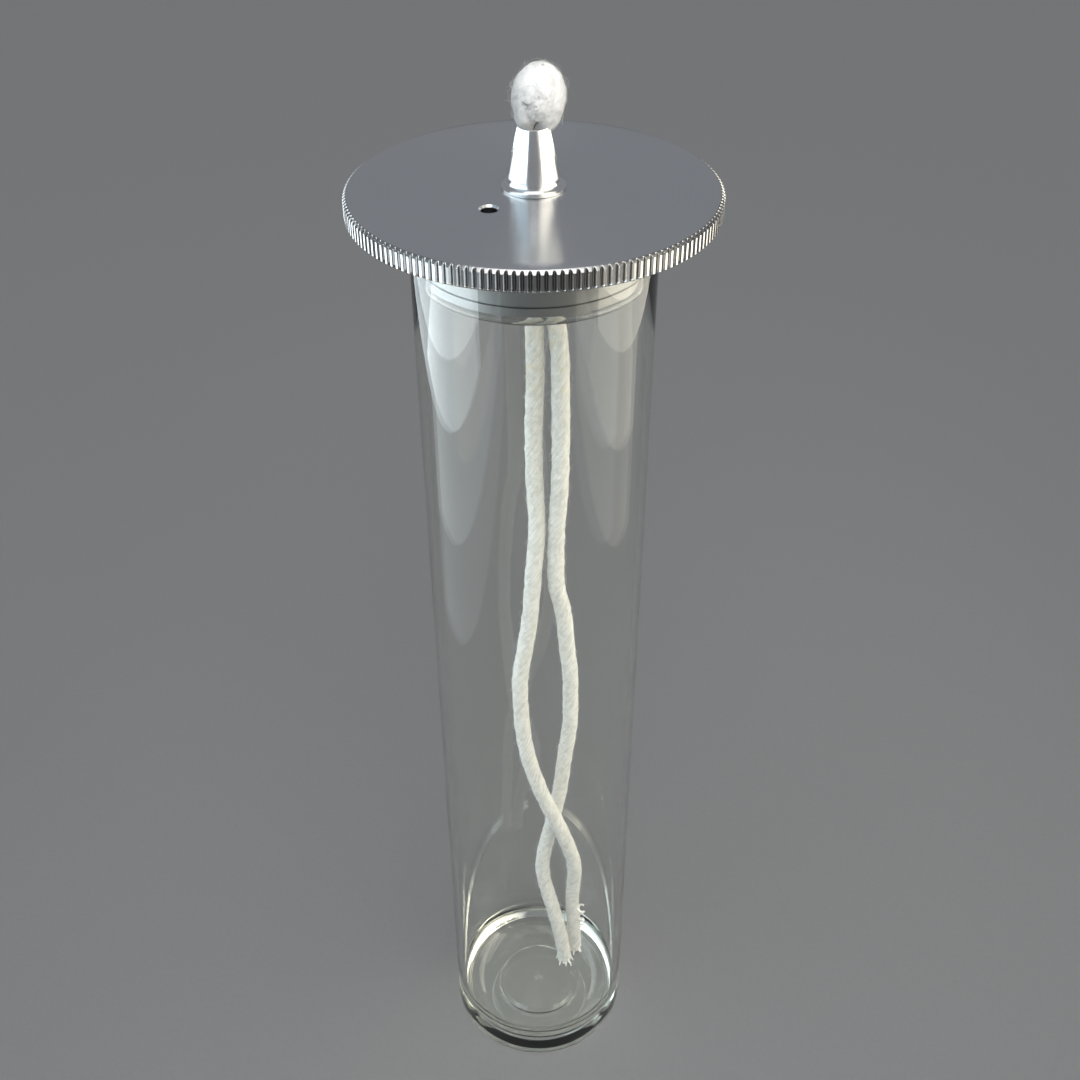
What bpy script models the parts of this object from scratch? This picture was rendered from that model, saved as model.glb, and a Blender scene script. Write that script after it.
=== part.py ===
"""Alcohol burner: a flat-bottomed glass tube closed by a turned aluminium lid with a knurled rim.
A tapered nozzle in the lid holds a doubled cotton wick, whose two ends hang down into the tube.

Units are metres and +Z is up. The tube's axis is Z, and the tube stands on z = 0.
"""

from math import cos, pi, radians, sin

import bmesh
import bpy
from mathutils import Vector

MM = 0.001
GAP = 0.3 * MM  # left between pieces that touch

# Glass tube: flat-bottomed, and close in size to a common 38 x 200 mm laboratory tube.
TUBE_RADIUS = 19.3 * MM
TUBE_WALL = 1.5 * MM
TUBE_HEIGHT = 200 * MM
FLOOR_THICKNESS = 4 * MM
TUBE_BORE = TUBE_RADIUS - TUBE_WALL
OUTER_CORNER = 2.2 * MM
INNER_CORNER = 7 * MM
PUNT_RADIUS = 9 * MM
PUNT_DEPTH = 0.7 * MM
PIP_RADIUS = 1.6 * MM
PIP_HEIGHT = 0.5 * MM

# Lid: a knurled disc that rests on the tube's rim, with a hollow spigot that goes into the tube.
DISC_RADIUS = 28.5 * MM
DISC_THICKNESS = 3.35 * MM
DISC_CHAMFER = 0.45 * MM
DISC_UNDERSIDE = TUBE_HEIGHT + GAP
DISC_TOP = DISC_UNDERSIDE + DISC_THICKNESS
KNURL_TEETH = 164
KNURL_DEPTH = 0.55 * MM
SPIGOT_RADIUS = TUBE_BORE - GAP
SPIGOT_BORE = 14.2 * MM
SPIGOT_LENGTH = 9.1 * MM
SPIGOT_END = DISC_UNDERSIDE - SPIGOT_LENGTH
GROOVE_DROP = 7.5 * MM  # from the disc's underside to the groove's middle
GROOVE_WIDTH = 0.36 * MM
GROOVE_DEPTH = 0.3 * MM
SEAT_RADIUS = 16.1 * MM
SEAT_LENGTH = 1.0 * MM
VENT_PLACE = Vector((-6.5 * MM, -8.2 * MM, 0))
VENT_RADIUS = 1.25 * MM
VENT_CHAMFER = 0.3 * MM

# Seal ring between the spigot's seat and the glass.
SEAL_SECTION = 0.55 * MM  # radius of the ring's round section
SEAL_RADIUS = (TUBE_BORE + SEAT_RADIUS) / 2
SEAL_HEIGHT = SPIGOT_END - GAP - SEAL_SECTION

# Nozzle: a tapered tube with a foot on the lid, and a threaded shank through it.
NOZZLE_HEIGHT = 9.3 * MM
NOZZLE_TIP_RADIUS = 2.4 * MM
CONE_RADIUS = 4.05 * MM
CONE_START = 1.8 * MM
NECK_RADIUS = 3.65 * MM
NECK_HEIGHT = 1.2 * MM
FOOT_RADIUS = 4.9 * MM
FOOT_EDGE = 0.25 * MM
SHANK_RADIUS = 3.8 * MM
LID_HOLE_RADIUS = SHANK_RADIUS + GAP
SHANK_END = DISC_UNDERSIDE - 4.5 * MM
TIP_BORE = 1.95 * MM
SHANK_BORE = 3.3 * MM
SHANK_BORE_TOP = DISC_TOP + 0.5 * MM
TIP_BORE_START = DISC_TOP + 2.2 * MM

# Thin hexagon nut on the shank, under the lid.
NUT_ACROSS_FLATS = 11 * MM
NUT_THICKNESS = 3 * MM
NUT_TOP = DISC_UNDERSIDE - GAP
NUT_BORE = SHANK_RADIUS + GAP

# Wick: one cotton rope, doubled over. Its loop is the head, and its two ends hang in the tube.
STRAND_RADIUS = 1.5 * MM
STRAND_STEP = 2.5 * 2 * STRAND_RADIUS
STRAND_TOP = 195.9 * MM
CORE_RADIUS = 1.55 * MM
CORE_END = STRAND_TOP + GAP
HEAD_RADIUS = 3.9 * MM
HEAD_TOP = 221.6 * MM
HEAD_LEAN = 0.8 * MM
LEFT_ROUTE = (
    (-1.6, 0, 195.9), (-1.6, 0, 192), (-1.6, 0, 188), (-1, 0, 185), (-0.2, 0, 181), (0, 0.2, 175),
    (0, 0.4, 170), (-0.3, 0.6, 160), (-0.2, 0.4, 150), (0.2, 0, 140), (-0.5, -0.4, 130), (-1.2, -0.8, 120),
    (-2.5, -1, 110), (-3.2, -1, 105), (-3.3, -1, 100), (-2.9, -1.2, 90), (-1.6, -1.5, 81),
    (1.1, -1.8, 71), (4.6, -1.8, 61), (7.3, -1, 51), (8.1, -0.2, 45), (8, 0.4, 39), (7.8, 0.8, 33),
    (8, 1, 28), (8.4, 1.2, 21), (8.5, 1.2, 13.5),
)
RIGHT_ROUTE = (
    (1.6, 0, 195.9), (1.6, 0, 192), (1.6, 0, 188), (2.4, 0, 185), (3.4, 0, 181), (4.1, -0.2, 175),
    (4.2, -0.4, 170), (4.3, -0.4, 160), (4.2, -0.4, 150), (3.7, 0, 140), (3.6, 0.2, 132), (3.8, 0.4, 126),
    (5.1, 0.8, 119), (6, 1, 109), (6.6, 1.2, 103), (6.7, 1.4, 96), (6.7, 1.5, 89), (5.7, 1.7, 79),
    (4.8, 1.8, 69), (3.2, 1.7, 59), (1.5, 1.2, 50), (1, 0.6, 45), (1.5, 0, 40), (3.5, -0.8, 31),
    (5.3, -1.2, 21), (6.3, -1.5, 13),
)

TUBE_STEPS = 96
LID_STEPS = 2 * KNURL_TEETH
SMALL_STEPS = 48
SMOOTH_ANGLE = radians(35)


def clear_scene():
    for thing in list(bpy.data.objects):
        bpy.data.objects.remove(thing, do_unlink=True)


def material(name, colour, roughness, metallic=0.0, transmission=0.0, ior=1.5):
    made = bpy.data.materials.new(name)
    made.use_nodes = True
    shader = made.node_tree.nodes["Principled BSDF"]
    shader.inputs["Base Color"].default_value = (*colour, 1)
    shader.inputs["Roughness"].default_value = roughness
    shader.inputs["Metallic"].default_value = metallic
    shader.inputs["Transmission Weight"].default_value = transmission
    shader.inputs["IOR"].default_value = ior
    return made


def new_object(name, bm, finish):
    """An object from bm, with smooth faces between sharp edges."""
    bmesh.ops.remove_doubles(bm, verts=bm.verts, dist=0.001 * MM)
    bmesh.ops.recalc_face_normals(bm, faces=bm.faces)
    mesh = bpy.data.meshes.new(name)
    bm.to_mesh(mesh)
    bm.free()
    mesh.shade_smooth()
    mesh.set_sharp_from_angle(angle=SMOOTH_ANGLE)
    mesh.materials.append(finish)
    made = bpy.data.objects.new(name, mesh)
    bpy.context.scene.collection.objects.link(made)
    return made


def arc(centre_r, centre_z, radius, start, end, steps):
    """Profile points (r, z) along an arc, with its angles in degrees from +r."""
    angles = [radians(start + (end - start) * i / steps) for i in range(steps + 1)]
    return [(centre_r + radius * cos(a), centre_z + radius * sin(a)) for a in angles]


def turned(name, profile, finish, steps, ring=False):
    """A solid turned round Z from profile points (r, z). A ring's profile closes on itself."""
    bm = bmesh.new()
    verts = [bm.verts.new((r, 0, z)) for r, z in profile]
    edges = [bm.edges.new(pair) for pair in zip(verts, verts[1:])]
    if ring:
        edges.append(bm.edges.new((verts[-1], verts[0])))
    bmesh.ops.spin(
        bm, geom=verts + edges, cent=(0, 0, 0), axis=(0, 0, 1), angle=2 * pi, steps=steps, use_merge=True
    )
    return new_object(name, bm, finish)


def helper(thing):
    """Marks a Boolean's second object, which isn't part of the burner."""
    thing.hide_render = True
    thing.display_type = "WIRE"
    return thing


def boolean(thing, operation, other):
    made = thing.modifiers.new(other.name, "BOOLEAN")
    made.operation = operation
    made.object = other
    made.solver = "EXACT"


def disc(name, finish):
    """The lid's knurled disc, whose teeth run out at a chamfer on each edge."""
    valley = DISC_RADIUS - KNURL_DEPTH
    levels = (
        (DISC_TOP, valley),
        (DISC_TOP - DISC_CHAMFER, DISC_RADIUS),
        (DISC_UNDERSIDE + DISC_CHAMFER, DISC_RADIUS),
        (DISC_UNDERSIDE, valley),
    )
    bm = bmesh.new()
    rings = []
    for z, crest in levels:
        radii = [crest if step % 2 == 0 else valley for step in range(LID_STEPS)]
        angles = [2 * pi * step / LID_STEPS for step in range(LID_STEPS)]
        rings.append([bm.verts.new((r * cos(a), r * sin(a), z)) for r, a in zip(radii, angles)])
    for upper, lower in zip(rings, rings[1:]):
        for step in range(LID_STEPS):
            after = (step + 1) % LID_STEPS
            bm.faces.new((upper[step], lower[step], lower[after], upper[after]))
    bm.faces.new(rings[0])
    bm.faces.new(rings[-1])
    return new_object(name, bm, finish)


def spigot(name, finish):
    """The hollow spigot, with a turned groove and the seal's stepped seat. It reaches into the disc."""
    groove = DISC_UNDERSIDE - GROOVE_DROP
    inside_disc = DISC_UNDERSIDE + 1 * MM
    profile = [
        (SPIGOT_RADIUS, inside_disc),
        (SPIGOT_RADIUS, groove + GROOVE_WIDTH / 2),
        (SPIGOT_RADIUS - GROOVE_DEPTH, groove),
        (SPIGOT_RADIUS, groove - GROOVE_WIDTH / 2),
        (SPIGOT_RADIUS, SPIGOT_END),
        (SEAT_RADIUS, SPIGOT_END),
        (SEAT_RADIUS, SPIGOT_END - SEAT_LENGTH),
        (SPIGOT_BORE, SPIGOT_END - SEAT_LENGTH),
        (SPIGOT_BORE, inside_disc),
    ]
    return turned(name, profile, finish, TUBE_STEPS, ring=True)


def vent_cutter(name, finish):
    beyond = 1 * MM
    mouth = VENT_RADIUS + VENT_CHAMFER + beyond
    profile = [
        (0, DISC_TOP + beyond),
        (mouth, DISC_TOP + beyond),
        (VENT_RADIUS, DISC_TOP - VENT_CHAMFER),
        (VENT_RADIUS, DISC_UNDERSIDE - beyond),
        (0, DISC_UNDERSIDE - beyond),
    ]
    cutter = turned(name, profile, finish, 24)
    cutter.location = VENT_PLACE
    return helper(cutter)


def bore_cutter(name, radius, top, bottom, finish):
    beyond = 1 * MM
    profile = [(0, top + beyond), (radius, top + beyond), (radius, bottom - beyond), (0, bottom - beyond)]
    return helper(turned(name, profile, finish, SMALL_STEPS))


def make_tube(finish):
    profile = [(0, FLOOR_THICKNESS + PIP_HEIGHT), (PIP_RADIUS * 0.6, FLOOR_THICKNESS + PIP_HEIGHT * 0.7)]
    profile += [(PIP_RADIUS, FLOOR_THICKNESS)]
    corner = TUBE_BORE - INNER_CORNER
    profile += arc(corner, FLOOR_THICKNESS + INNER_CORNER, INNER_CORNER, -90, 0, 6)
    middle = TUBE_RADIUS - TUBE_WALL / 2
    profile += arc(middle, TUBE_HEIGHT - TUBE_WALL / 2, TUBE_WALL / 2, 180, 0, 6)
    profile += arc(TUBE_RADIUS - OUTER_CORNER, OUTER_CORNER, OUTER_CORNER, 0, -90, 5)
    profile += [(PUNT_RADIUS + 0.6 * MM, 0), (PUNT_RADIUS, PUNT_DEPTH * 0.3)]
    profile += [(PUNT_RADIUS * 0.6, PUNT_DEPTH * 0.8), (0, PUNT_DEPTH)]
    return turned("glass_tube", profile, finish, TUBE_STEPS)


def make_lid(finish):
    lid = disc("lid", finish)
    boolean(lid, "UNION", helper(spigot("lid_spigot_shape", finish)))
    hole = bore_cutter("lid_hole_cutter", LID_HOLE_RADIUS, DISC_TOP, DISC_UNDERSIDE, finish)
    boolean(lid, "DIFFERENCE", hole)
    boolean(lid, "DIFFERENCE", vent_cutter("vent_cutter", finish))
    return lid


def make_seal(finish):
    profile = arc(SEAL_RADIUS, SEAL_HEIGHT, SEAL_SECTION, 0, -330, 11)
    return turned("lid_seal_ring", profile, finish, TUBE_STEPS, ring=True)


def make_nozzle(finish):
    tip = DISC_TOP + NOZZLE_HEIGHT
    foot = DISC_TOP + GAP
    lip = 0.15 * MM
    fillet = FOOT_RADIUS - NECK_RADIUS
    fillet_centre = foot + FOOT_EDGE + fillet * 0.5
    profile = [
        (NOZZLE_TIP_RADIUS - lip, tip),
        (NOZZLE_TIP_RADIUS, tip - lip),
        (CONE_RADIUS, DISC_TOP + CONE_START),
        (NECK_RADIUS, DISC_TOP + NECK_HEIGHT),
        (NECK_RADIUS + fillet * 0.3, fillet_centre - fillet * 0.2),
        (FOOT_RADIUS, foot + FOOT_EDGE),
        (FOOT_RADIUS, foot),
        (SHANK_RADIUS, foot),
        (SHANK_RADIUS, SHANK_END),
        (SHANK_BORE, SHANK_END),
        (SHANK_BORE, SHANK_BORE_TOP),
        (TIP_BORE, TIP_BORE_START),
        (TIP_BORE, tip),
    ]
    return turned("wick_nozzle", profile, finish, SMALL_STEPS, ring=True)


def make_nut(finish):
    bm = bmesh.new()
    corner_radius = NUT_ACROSS_FLATS / 2 / cos(pi / 6)
    bmesh.ops.create_cone(
        bm, cap_ends=True, segments=6, radius1=corner_radius, radius2=corner_radius, depth=NUT_THICKNESS
    )
    bmesh.ops.translate(bm, verts=bm.verts, vec=(0, 0, NUT_TOP - NUT_THICKNESS / 2))
    nut = new_object("nozzle_nut", bm, finish)
    boolean(nut, "DIFFERENCE", bore_cutter("nut_cutter", NUT_BORE, NUT_TOP, NUT_TOP - NUT_THICKNESS, finish))
    return nut


def make_wick_head(finish):
    """The rope's fluffy loop above the nozzle, on the squeezed double rope that fills the nozzle."""
    tip = DISC_TOP + NOZZLE_HEIGHT
    half_height = (HEAD_TOP - tip) / 2
    middle = tip + half_height + GAP
    profile = [(HEAD_RADIUS * r, middle + half_height * z) for r, z in arc(0, 0, 1, 90, -62, 12)]
    profile += [(CORE_RADIUS, tip + GAP), (CORE_RADIUS, CORE_END), (0, CORE_END)]
    head = turned("wick_head", profile, finish, 32)
    for vert in head.data.vertices:
        rise = min(max((vert.co.z - tip) / half_height, 0), 1)
        vert.co.x += HEAD_LEAN * rise * rise * (3 - 2 * rise)
    return head


def smooth_route(route):
    """Evenly spaced points on the Catmull-Rom curve through a route's points, which are in millimetres."""
    points = [Vector(point) * MM for point in route]
    points = [2 * points[0] - points[1]] + points + [2 * points[-1] - points[-2]]
    fine = []
    for a, b, c, d in zip(points, points[1:], points[2:], points[3:]):
        for step in range(24):
            t = step / 24
            bend = (2 * a - 5 * b + 4 * c - d) * t * t + (3 * b - 3 * c + d - a) * t ** 3
            fine.append(b + ((c - a) * t + bend) / 2)
    fine.append(points[-2])
    lengths = [0.0]
    for before, after in zip(fine, fine[1:]):
        lengths.append(lengths[-1] + (after - before).length)
    count = round(lengths[-1] / STRAND_STEP)
    even = []
    for step in range(count + 1):
        target = lengths[-1] * step / count
        index = next(i for i, length in enumerate(lengths) if length >= target - 1e-9)
        even.append(fine[index])
    return even


def make_strand(name, route, finish):
    points = smooth_route(route)
    curve = bpy.data.curves.new(name, "CURVE")
    curve.dimensions = "3D"
    curve.bevel_depth = STRAND_RADIUS
    curve.bevel_resolution = 2
    curve.use_fill_caps = True
    spline = curve.splines.new("POLY")
    spline.points.add(len(points) - 1)
    for place, point in zip(spline.points, points):
        place.co = (*point, 1)
    curve.materials.append(finish)
    made = bpy.data.objects.new(name, curve)
    bpy.context.scene.collection.objects.link(made)
    return made


def joint_axis(name, height):
    """An empty on the burner's axis, whose children move together."""
    made = bpy.data.objects.new(name, None)
    made.location = (0, 0, height)
    made.empty_display_size = 10 * MM
    bpy.context.scene.collection.objects.link(made)
    return made


def attach(parent, *children):
    for child in children:
        child.parent = parent
        child.matrix_parent_inverse = parent.matrix_basis.inverted()


def main():
    clear_scene()
    glass = material("clear_glass", (0.93, 0.96, 0.94), 0.02, transmission=1.0, ior=1.5)
    aluminium = material("turned_aluminium", (0.66, 0.67, 0.69), 0.32, metallic=1.0)
    polished = material("polished_aluminium", (0.78, 0.78, 0.79), 0.16, metallic=1.0)
    steel = material("plated_steel", (0.6, 0.59, 0.57), 0.3, metallic=1.0)
    silicone = material("clear_silicone", (0.86, 0.87, 0.84), 0.25, transmission=0.8, ior=1.41)
    cotton = material("cotton", (0.86, 0.85, 0.8), 0.95)

    make_tube(glass)
    lift = joint_axis("lid_lift_axis", TUBE_HEIGHT)
    turn = joint_axis("lid_turn_axis", TUBE_HEIGHT)
    raise_axis = joint_axis("wick_raise_axis", DISC_TOP)
    attach(lift, make_seal(silicone), turn)
    attach(turn, make_lid(aluminium), make_nozzle(polished), make_nut(steel), raise_axis)
    attach(
        raise_axis,
        make_wick_head(cotton),
        make_strand("wick_strand_left", LEFT_ROUTE, cotton),
        make_strand("wick_strand_right", RIGHT_ROUTE, cotton),
    )


main()
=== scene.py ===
"""An alcohol burner: a tall glass tube, a turned aluminium lid with a knurled rim, and a doubled cotton wick.

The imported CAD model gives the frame. Each piece here is rebuilt in finer detail, in metres with +Z up, and
rides on the CAD body that it belongs to.
"""

from math import cos, pi, radians, sin

import bmesh
import bpy
import numpy as np
from mathutils import Matrix, Vector, noise


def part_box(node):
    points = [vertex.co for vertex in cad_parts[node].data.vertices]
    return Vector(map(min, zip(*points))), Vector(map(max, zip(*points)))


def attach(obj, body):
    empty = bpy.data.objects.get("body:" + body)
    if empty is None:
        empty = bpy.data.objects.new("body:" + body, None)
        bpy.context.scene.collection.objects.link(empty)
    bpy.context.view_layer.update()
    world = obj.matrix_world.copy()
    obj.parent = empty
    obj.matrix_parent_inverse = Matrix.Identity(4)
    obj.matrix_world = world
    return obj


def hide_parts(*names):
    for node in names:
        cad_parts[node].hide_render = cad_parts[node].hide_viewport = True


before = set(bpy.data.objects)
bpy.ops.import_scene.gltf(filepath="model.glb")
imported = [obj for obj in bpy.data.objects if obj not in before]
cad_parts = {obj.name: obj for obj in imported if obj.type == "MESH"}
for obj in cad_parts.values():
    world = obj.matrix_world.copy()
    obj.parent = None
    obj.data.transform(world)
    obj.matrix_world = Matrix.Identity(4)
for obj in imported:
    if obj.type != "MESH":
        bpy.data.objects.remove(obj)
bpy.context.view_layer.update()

MM = 0.001

# Sizes that come from the CAD nodes' boxes.
TUBE_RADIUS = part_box("glass_tube")[1].x
TUBE_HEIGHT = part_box("glass_tube")[1].z
DISC_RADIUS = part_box("lid")[1].x
DISC_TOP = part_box("lid")[1].z
LID_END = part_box("lid")[0].z
NOZZLE_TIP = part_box("wick_nozzle")[1].z
SHANK_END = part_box("wick_nozzle")[0].z
FOOT_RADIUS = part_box("wick_nozzle")[1].x
NUT_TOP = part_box("nozzle_nut")[1].z
NUT_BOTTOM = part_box("nozzle_nut")[0].z
HEAD_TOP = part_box("wick_head")[1].z

# Glass tube.
TUBE_WALL = 1.5 * MM
TUBE_BORE = TUBE_RADIUS - TUBE_WALL
FLOOR_THICKNESS = 4 * MM
OUTER_CORNER = 2.2 * MM
INNER_CORNER = 8.6 * MM
PUNT_RADIUS = 9 * MM
PUNT_DEPTH = 0.7 * MM
PIP_RADIUS = 1.2 * MM
PIP_HEIGHT = 0.8 * MM
MOAT_DEPTH = 0.9 * MM  # the inner bottom's ring-shaped hollow, outside its raised middle
TUBE_STEPS = 224

# Lid.
DISC_UNDERSIDE = DISC_TOP - 3.35 * MM
RIM_CHAMFER = 0.7 * MM  # across the top edge, measured along the radius
RIM_CHAMFER_HEIGHT = 0.5 * MM
LOWER_CHAMFER = 0.4 * MM
KNURL_TEETH = 164
KNURL_DEPTH = 0.5 * MM
KNURL_SLOT = 0.56  # share of the pitch that a slot takes
SAMPLES_PER_TOOTH = 12
FINE_STEPS = KNURL_TEETH * SAMPLES_PER_TOOTH
LID_STEPS = FINE_STEPS // 6
PLATE_EDGE = 24.7 * MM  # the knurled rim's fine rings start here
LID_HOLE_RADIUS = 4.1 * MM
SPIGOT_RADIUS = 17.5 * MM
SPIGOT_BORE = 14.2 * MM
SPIGOT_END = LID_END + 1 * MM
SEAT_RADIUS = 16.1 * MM
GROOVE_HEIGHT = DISC_UNDERSIDE - 7.5 * MM
GROOVE_WIDTH = 0.36 * MM
GROOVE_DEPTH = 0.3 * MM
VENT_PLACE = (-6.5 * MM, -8.2 * MM, 0)
VENT_RADIUS = 1.25 * MM
VENT_CHAMFER = 0.3 * MM
EDGE_BREAK = 0.12 * MM  # small chamfer on turned edges

# Seal ring.
SEAL_SECTION = 0.7 * MM
SEAL_RADIUS = 16.95 * MM
SEAL_HEIGHT = SPIGOT_END - SEAL_SECTION - 0.06 * MM
SEAL_STEPS = 192

# Nozzle and nut.
CONE_RADIUS = 4.05 * MM
CONE_START = 1.8 * MM
TIP_RADIUS = 2.4 * MM
TIP_BORE = 1.95 * MM
NECK_RADIUS = 3.65 * MM
NECK_HEIGHT = 1.2 * MM
FOOT_EDGE = 0.25 * MM
SHANK_RADIUS = 3.8 * MM
SHANK_BORE = 3.3 * MM
NOZZLE_STEPS = 128
NUT_ACROSS_FLATS = 11 * MM
NUT_BORE = 3.95 * MM
SHANK_BORE_TOP = DISC_TOP + 0.5 * MM
TIP_BORE_START = DISC_TOP + 2.2 * MM

# Wick. The two routes are the CAD model's, in millimetres.
STRAND_RADIUS = 1.55 * MM
LEFT_ROUTE = (
    (-1.6, 0, 195.9), (-1.6, 0, 192), (-1.6, 0, 188), (-1, 0, 185), (-0.2, 0, 181), (0, 0.2, 175),
    (0, 0.4, 170), (-0.3, 0.6, 160), (-0.2, 0.4, 150), (0.2, 0, 140), (-0.5, -0.4, 130), (-1.2, -0.8, 120),
    (-2.5, -1, 110), (-3.2, -1, 105), (-3.3, -1, 100), (-2.9, -1.2, 90), (-1.6, -1.5, 81),
    (1.1, -1.8, 71), (4.6, -1.8, 61), (7.3, -1, 51), (8.1, -0.2, 45), (8, 0.4, 39), (7.8, 0.8, 33),
    (8, 1, 28), (8.4, 1.2, 21), (8.5, 1.2, 13.5),
)
RIGHT_ROUTE = (
    (1.6, 0, 195.9), (1.6, 0, 192), (1.6, 0, 188), (2.4, 0, 185), (3.4, 0, 181), (4.1, -0.2, 175),
    (4.2, -0.4, 170), (4.3, -0.4, 160), (4.2, -0.4, 150), (3.7, 0, 140), (3.6, 0.2, 132), (3.8, 0.4, 126),
    (5.1, 0.8, 119), (6, 1, 109), (6.6, 1.2, 103), (6.7, 1.4, 96), (6.7, 1.5, 89), (5.7, 1.7, 79),
    (4.8, 1.8, 69), (3.2, 1.7, 59), (1.5, 1.2, 50), (1, 0.6, 45), (1.5, 0, 40), (3.5, -0.8, 31),
    (5.3, -1.2, 21), (6.3, -1.5, 13),
)
# The loop's own route: up through the nozzle, over, and down again. Its legs stay inside the tip's bore as far
# down as they rise when the wick is raised.
LOOP_ROUTE = (
    (-1.6, 0, 196.2), (-1.3, 0, 197), (-0.95, 0, 198.2), (-0.9, 0, 202), (-0.9, 0, 206), (-0.8, 0, 209),
    (-0.8, 0, 211.6),
    (-1, 0, 213.2), (-1.1, 0, 215), (-1.1, 0, 217), (-0.7, 0, 218.6), (0.1, 0, 219.5),
    (0.9, 0, 219.8), (1.8, 0, 219.5), (2.4, 0, 218.5), (2.6, 0, 217), (2.4, 0, 215),
    (1.7, 0, 213.2), (0.8, 0, 211.6), (0.8, 0, 209), (0.9, 0, 206), (0.9, 0, 202), (0.95, 0, 198.2),
    (1.3, 0, 197), (1.6, 0, 196.2),
)
# The loop's rope radius in millimetres at heights in millimetres: squeezed in the bore and loose above it.
LOOP_HEIGHTS = (196.2, 197.8, 206, 212.2, 213.8, 216.5, 219, 219.8)
LOOP_RADII = (1.4, 0.85, 0.85, 0.9, 1.7, 2.05, 2.05, 2)
HEAD_RADIUS = 3.9 * MM
HEAD_LEAN = 0.8 * MM
PLIES = 3
PLY_GROOVE = 0.06  # depth of the groove between two plies, as a share of the radius
TWIST_LENGTH = 16 * MM  # one full turn of the plies
ROPE_STEP = 0.28 * MM
ROPE_SIDES = 42
FUZZ_START = 0.06  # the strands' fuzz starts below the stretch that rises into the nozzle, as a share of them
# Crimped loose yarns: phase, distance from the axis and radius of the waves in millimetres, and waves.
CRIMPED_YARNS = ((0.0, 9.8, 0.6, 3.2), (2.2, 9.5, 0.65, 2.6))
CRIMPED_YARN_RADIUS = 0.2 * MM

# Finishes.
RIM_PAINTED_SHADE = (0.58, 0.57, 0.56)  # painted shade: the knurled rim's colour, as a share of the plate's
# painted shade in the knurl's slots, as a share of the plate's colour
SLOT_PAINTED_SHADE = 0.35
DULL_ANISOTROPY = 0.2  # on the rim and below the disc
SPIGOT_ROUGHENING = 0.22
STAIN_COLOUR = (0.72, 0.62, 0.36, 1)
STAIN_SHARE = 0.5

# Camera: a hand-held view from the front and above.
CAMERA_PLACE = Vector((0, -0.1882, 0.2825))
CAMERA_PITCH = radians(37.76)
CAMERA_YAW = radians(0.22)
CAMERA_ROLL = radians(-0.23)
CAMERA_LENS = 43.97
CAMERA_SENSOR = 36

# Light tent: an even dim dome with brighter patches. Each has a direction, the cosines where it starts and is
# full, and its added radiance.
DOME_TONE = (0.235, 0.245, 0.265, 1)
PATCHES = (
    ((0, -0.2, 0.98), 0.88, 0.98, (2.6, 2.6, 2.55, 1)),
    ((-0.83, -0.4, 0.38), 0.7, 0.95, (0.28, 0.42, 0.5, 1)),
    ((0.83, -0.4, 0.38), 0.7, 0.95, (1.35, 1.25, 1.05, 1)),
)
# A card's strips: bottom, top, nearer end, farther end and radiance.
CARD_STRIPS = (
    (0, 0.04, -0.27, 0.065, 0.35),
    (0.04, 0.08, -0.27, 0.065, 0.9),
    (0.08, 0.105, -0.13, 0.28, 2.4),
    (0.105, 0.13, -0.13, 0.3, 5.0),
    (0.13, 0.165, -0.13, 0.3, 5.0),
    (0.165, 0.27, -0.26, 0.12, 2.6),
)
# The cards' names, places along x, tints and shares of the strips' radiance.
CARDS = (
    ("left", -0.15, (0.84, 0.95, 1.0), 0.85),
    ("right", 0.2, (1.0, 0.94, 0.78), 1.0),
)
HEAD_LAMP_PLACE = (0.03, -0.16, 0.4)
HEAD_LAMP_SIZE = (0.12, 0.12)
HEAD_LAMP_RADIANCE = 9.0
FLOOR_DROP = 0.05 * MM  # a hair of air under the glass


# Camera, floor and lights


def make_camera():
    data = bpy.data.cameras.new("camera")
    data.lens = CAMERA_LENS
    data.sensor_width = CAMERA_SENSOR
    data.clip_start = 0.01
    forward = Vector((
        sin(CAMERA_YAW) * cos(CAMERA_PITCH),
        cos(CAMERA_YAW) * cos(CAMERA_PITCH),
        -sin(CAMERA_PITCH),
    ))
    level = Vector((cos(CAMERA_YAW), -sin(CAMERA_YAW), 0))
    above = level.cross(forward)
    right = level * cos(CAMERA_ROLL) + above * sin(CAMERA_ROLL)
    up = right.cross(forward)
    camera = bpy.data.objects.new("camera", data)
    turn = Matrix((right, up, -forward)).transposed().to_4x4()
    camera.matrix_world = Matrix.Translation(CAMERA_PLACE) @ turn
    bpy.context.scene.collection.objects.link(camera)
    bpy.context.scene.camera = camera


def softbox(name, place, aim, size, colour, radiance, lights_cloth=False):
    """A soft rectangular lamp whose face has the given radiance.

    It shows in metal and glass but lights no matt surface, or the other way round when it lights cloth.
    """
    data = bpy.data.lights.new(name, "AREA")
    data.shape = "RECTANGLE"
    data.size, data.size_y = size
    data.color = colour
    data.energy = pi * size[0] * size[1] * radiance
    lamp = bpy.data.objects.new(name, data)
    lamp.location = place
    lamp.rotation_euler = (Vector(aim) - Vector(place)).to_track_quat("-Z", "Y").to_euler()
    lamp.visible_camera = False
    lamp.visible_diffuse = lights_cloth
    lamp.visible_glossy = not lights_cloth
    lamp.visible_transmission = not lights_cloth
    bpy.context.scene.collection.objects.link(lamp)


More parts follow.
